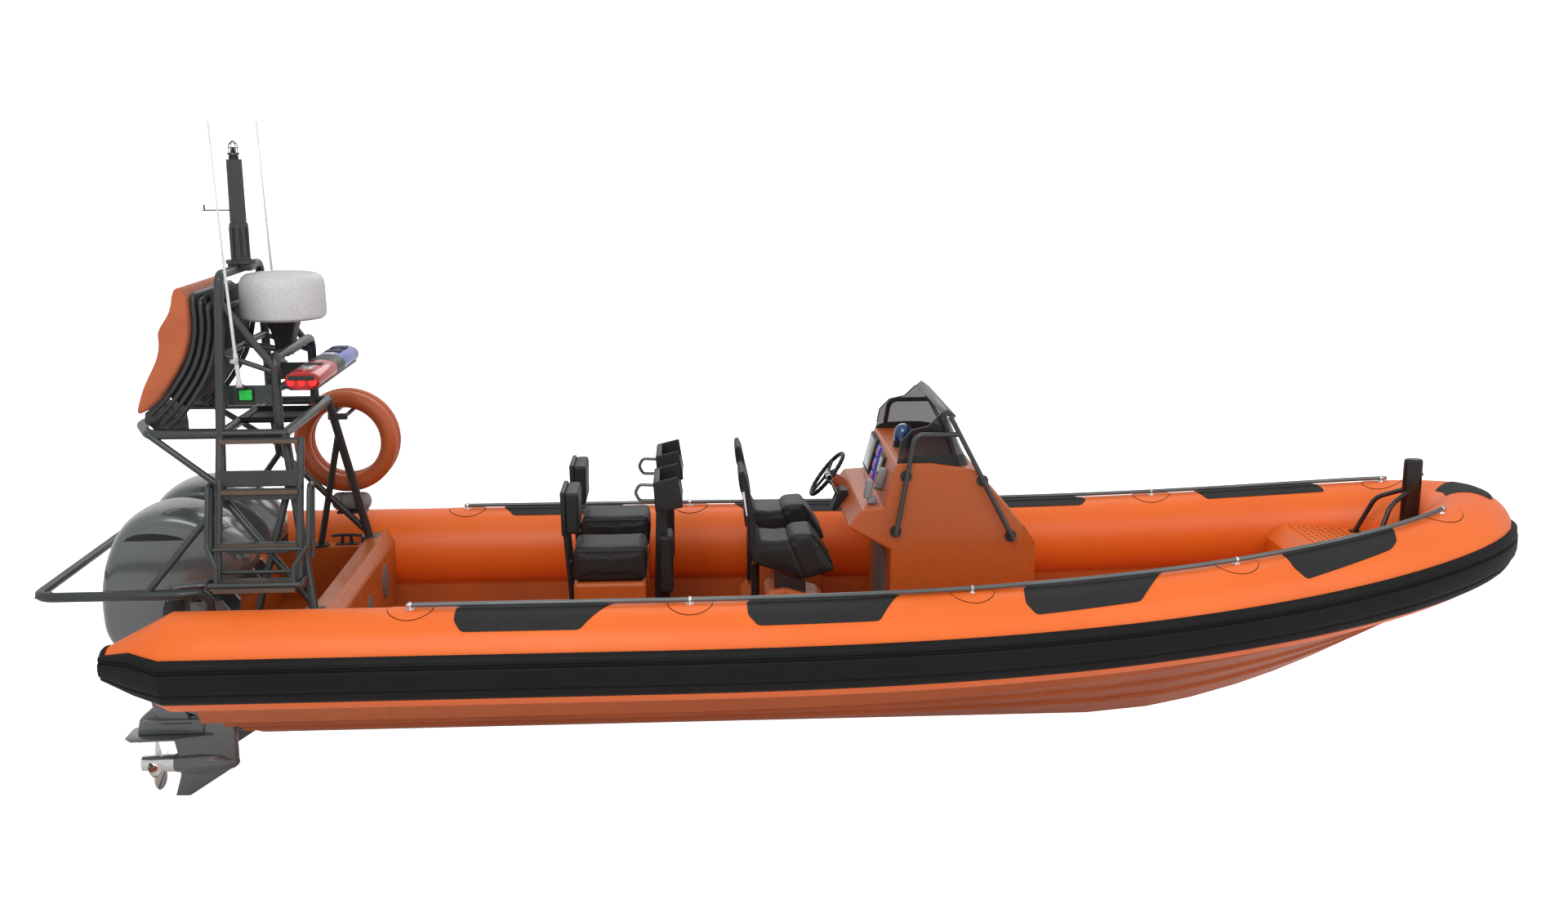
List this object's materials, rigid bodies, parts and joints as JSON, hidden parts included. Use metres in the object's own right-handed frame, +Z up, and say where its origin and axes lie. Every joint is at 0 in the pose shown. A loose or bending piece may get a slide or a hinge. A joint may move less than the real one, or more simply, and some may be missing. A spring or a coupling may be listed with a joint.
{
  "type": "inshore rescue boat",
  "caption": "Rigid inflatable rescue boat with a deep V hull, black strake, arch with righting bag and radar, helm console, jockey seats and outboard motors that tilt and steer.",
  "frame": {"origin": "on the centreline at the waterline, at the top of the transom's aft face", "axes": "+X to the bow, +Y to port, +Z up"},
  "size_m": [9.0969, 2.976, 4.1081],
  "materials": {
    "moulding": "satin",
    "tube_fabric": "satin",
    "ring_shell": "satin",
    "black_rubber": "matte",
    "steel_rail": "satin",
    "dark_frame": "satin",
    "motor_paint": "gloss",
    "propeller_steel": "polished",
    "bag_cloth": "matte",
    "radar_shell": "matte",
    "lamp_plastic": "gloss",
    "speckled_shell": "matte",
    "smoked_screen": "gloss",
    "compass_shell": "gloss",
    "seat_vinyl": "matte",
    "black_plastic": "satin"
  },
  "bodies": {
    "hull": {"arch_frame": "dark_frame", "bag_rack": "dark_frame", "bow_locker": "moulding", "canister": "speckled_shell", "compass": "compass_shell", "console": "moulding", "console_rail_port": "dark_frame", "console_rail_stbd": "dark_frame", "grab_rail_port": "steel_rail", "grab_rail_stbd": "steel_rail", "guard_hoop": "dark_frame", "handhold_port": "black_plastic", "handhold_stbd": "black_plastic", "hull": "moulding", "jockey_base_port": "moulding", "jockey_base_stbd": "moulding", "jockey_seat_port": "seat_vinyl", "jockey_seat_stbd": "seat_vinyl", "ladder_fixed": "dark_frame", "life_ring_a": "ring_shell", "life_ring_b": "ring_shell", "light_bar": "lamp_plastic", "mast": "dark_frame", "motor_bracket_port": "motor_paint", "motor_bracket_stbd": "motor_paint", "radome": "radar_shell", "rear_seat_back_port": "seat_vinyl", "rear_seat_back_stbd": "seat_vinyl", "rear_seat_cushion_port": "seat_vinyl", "rear_seat_cushion_stbd": "seat_vinyl", "rear_seat_pod_port": "moulding", "rear_seat_pod_stbd": "moulding", "righting_bag": "bag_cloth", "rubbing_strake": "black_rubber", "stern_coaming": "moulding", "throttle_box": "black_plastic", "towing_post": "dark_frame", "tube_collar": "tube_fabric", "whip_aerial_port": "radar_shell", "whip_aerial_stbd": "radar_shell", "windscreen": "smoked_screen"},
    "boarding_ladder": {"ladder_folding": "dark_frame"},
    "helm_wheel": {"steering_wheel": "black_plastic"},
    "swivel_stbd": {"motor_swivel_stbd": "motor_paint"},
    "motor_stbd": {"motor_cowl_stbd": "motor_paint", "motor_leg_stbd": "motor_paint"},
    "screw_stbd": {"propeller_stbd": "propeller_steel"},
    "swivel_port": {"motor_swivel_port": "motor_paint"},
    "motor_port": {"motor_cowl_port": "motor_paint", "motor_leg_port": "motor_paint"},
    "screw_port": {"propeller_port": "propeller_steel"}
  },
  "joints": [
    {"name": "tilt_stbd", "type": "hinge", "parent": "hull", "child": "swivel_stbd", "pos_m": [0.1, -0.35, 0.42], "axis": [0, 1, 0], "range_deg": [0, 65]},
    {"name": "steer_stbd", "type": "hinge", "parent": "swivel_stbd", "child": "motor_stbd", "pos_m": [-0.03, -0.35, 0.1], "axis": [0, 0, 1], "range_deg": [-30, 30]},
    {"name": "turn_screw_stbd", "type": "hinge", "parent": "motor_stbd", "child": "screw_stbd", "pos_m": [-0.3, -0.35, -0.61], "axis": [1, 0, 0], "continuous": true},
    {"name": "tilt_port", "type": "hinge", "parent": "hull", "child": "swivel_port", "pos_m": [0.1, 0.35, 0.42], "axis": [0, 1, 0], "range_deg": [0, 65]},
    {"name": "steer_port", "type": "hinge", "parent": "swivel_port", "child": "motor_port", "pos_m": [-0.03, 0.35, 0.1], "axis": [0, 0, 1], "range_deg": [-30, 30]},
    {"name": "turn_screw_port", "type": "hinge", "parent": "motor_port", "child": "screw_port", "pos_m": [-0.3, 0.35, -0.61], "axis": [1, 0, 0], "continuous": true},
    {"name": "helm_turn", "type": "hinge", "parent": "hull", "child": "helm_wheel", "pos_m": [3.905, 0.35, 1.005], "axis": [-0.7828, 0, 0.6222], "range_deg": [-720, 720]},
    {"name": "ladder_fold", "type": "hinge", "parent": "hull", "child": "boarding_ladder", "pos_m": [0.535, -0.972, 0.7], "axis": [1, 0, 0], "range_deg": [0, 90]}
  ],
  "couplings": [
    {"joint": "steer_port", "follows": "steer_stbd", "ratio": 1}
  ]
}
